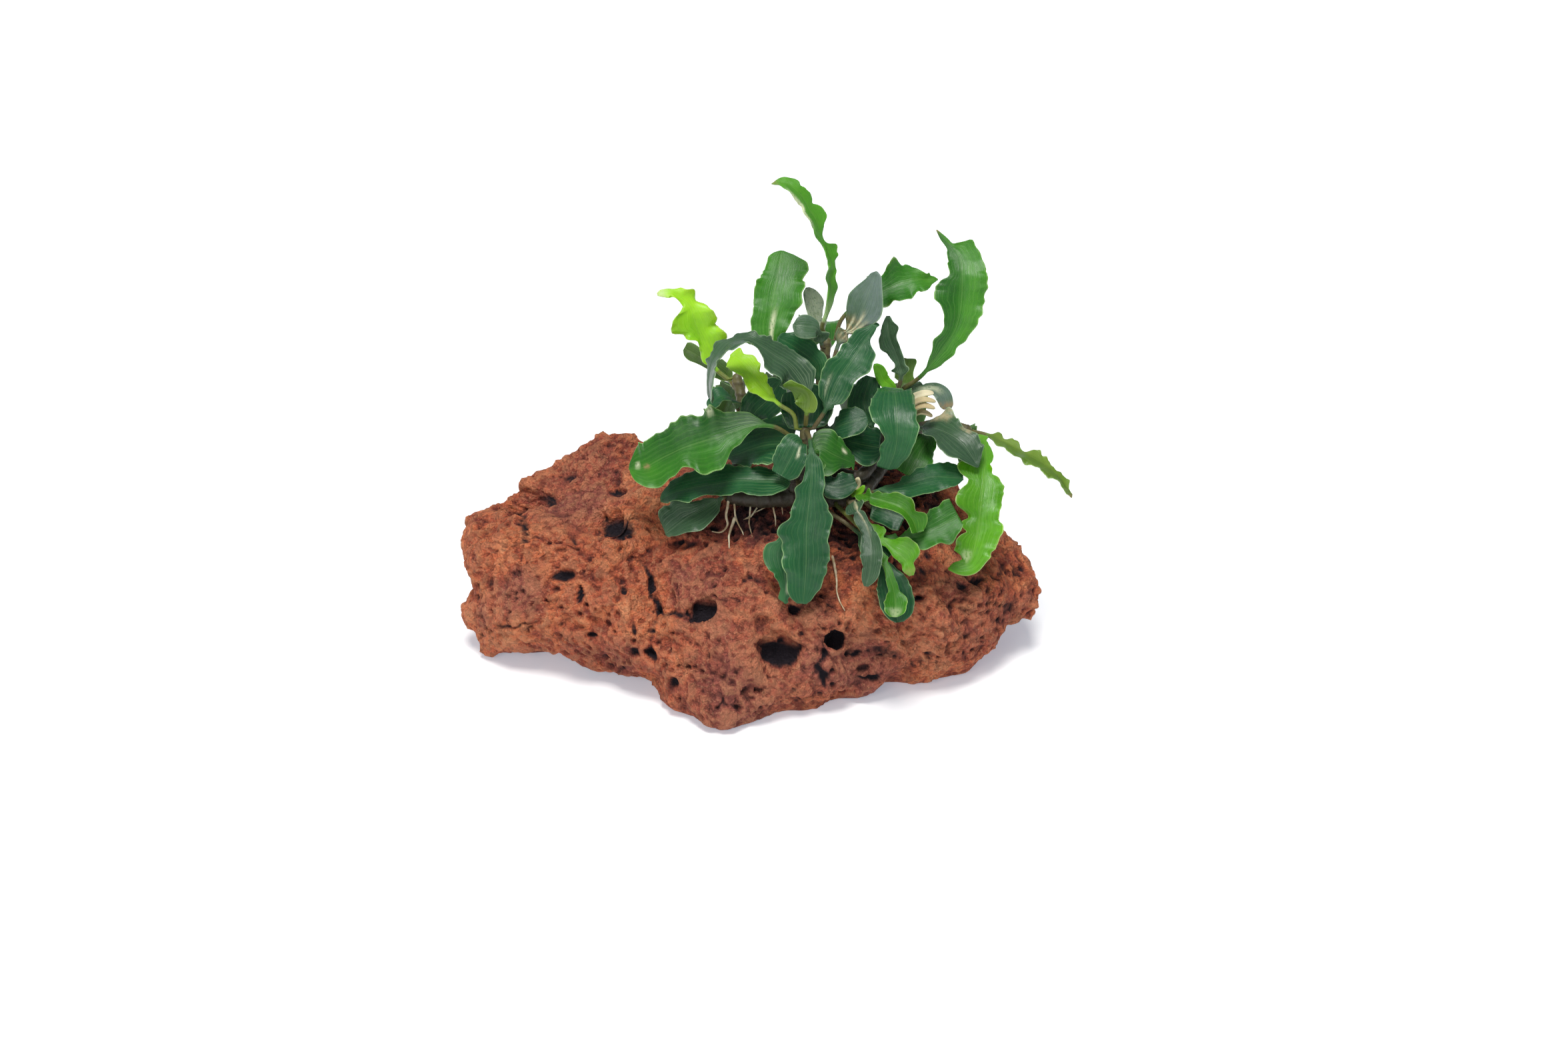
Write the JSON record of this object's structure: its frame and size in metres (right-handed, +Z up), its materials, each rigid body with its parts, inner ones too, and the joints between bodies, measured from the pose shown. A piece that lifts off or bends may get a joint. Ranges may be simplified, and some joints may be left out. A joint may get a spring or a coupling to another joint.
{
  "type": "bucephalandra on stone",
  "caption": "Clump of broad wavy-leaved aquatic plant growing from a creeping rhizome on a loose porous red-brown lava stone that rests on its flat underside.",
  "frame": {"origin": "middle of the flat patch on the stone's underside that it rests on", "axes": "+X along the stone's length, to the right from the front, -Y to the front, +Z up"},
  "size_m": [0.1383, 0.0854, 0.1017],
  "materials": {
    "stone": "rough porous red-brown lava, matte",
    "stem": "brown-green fleshy stem, slightly wet",
    "leaf_dark": "glossy wet dark green leaf",
    "leaf_mid": "glossy wet mid green leaf",
    "leaf_lime": "glossy wet yellow-green young leaf",
    "leaf_grey": "grey-green leaf with a bluish wet sheen",
    "leaf_olive": "olive old leaf, partly faded"
  },
  "bodies": {
    "root": {"stone": "stone", "rhizome": "stem", "stem_front": "stem", "stem_top": "stem", "stem_right": "stem", "stem_far_right": "stem", "stem_left": "stem", "leaf_left_broad": "leaf_mid", "leaf_front_long": "leaf_dark", "leaf_young_olive": "leaf_olive", "leaf_lime_inner": "leaf_lime", "leaf_arch_grey": "leaf_grey", "leaf_centre_gloss": "leaf_dark", "leaf_under_left": "leaf_dark", "leaf_low_left": "leaf_dark", "leaf_inner_left": "leaf_dark", "leaf_front_right": "leaf_mid", "leaf_front_behind": "leaf_dark", "leaf_shade_mid": "leaf_dark", "leaf_shade_root": "leaf_dark", "leaf_tall_sickle": "leaf_mid", "leaf_top_broad": "leaf_mid", "leaf_top_oval": "leaf_grey", "leaf_top_round": "leaf_grey", "leaf_behind_arch": "leaf_dark", "leaf_silver": "leaf_grey", "leaf_crinkled": "leaf_mid", "leaf_top_back": "leaf_mid", "leaf_mid_back_left": "leaf_dark", "leaf_mid_back_right": "leaf_dark", "leaf_shade_crown": "leaf_dark", "leaf_right_sickle": "leaf_mid", "leaf_right_folded": "leaf_grey", "leaf_olive_block": "leaf_olive", "leaf_curl_right": "leaf_grey", "leaf_right_lime_small": "leaf_lime", "leaf_mid_round": "leaf_dark", "leaf_dark_centre": "leaf_dark", "leaf_right_back": "leaf_mid", "leaf_grey_right": "leaf_grey", "leaf_far_right": "leaf_olive", "leaf_lime_right": "leaf_lime", "leaf_behind_round": "leaf_mid", "leaf_far_back": "leaf_mid", "leaf_low_right": "leaf_dark", "leaf_lime_pod": "leaf_lime", "leaf_low_wavy": "leaf_mid", "leaf_low_ragged": "leaf_lime", "leaf_low_grey": "leaf_grey", "leaf_low_dark": "leaf_dark", "leaf_low_spoon": "leaf_lime", "leaf_shade_low": "leaf_dark", "leaf_lime_far_left": "leaf_lime", "leaf_olive_far_left": "leaf_olive", "leaf_left_back": "leaf_mid", "leaf_left_shade": "leaf_dark", "leaf_shade_arch": "leaf_dark", "leaf_front_small": "leaf_dark", "leaf_shade_olive": "leaf_dark"}
  },
  "joints": []
}
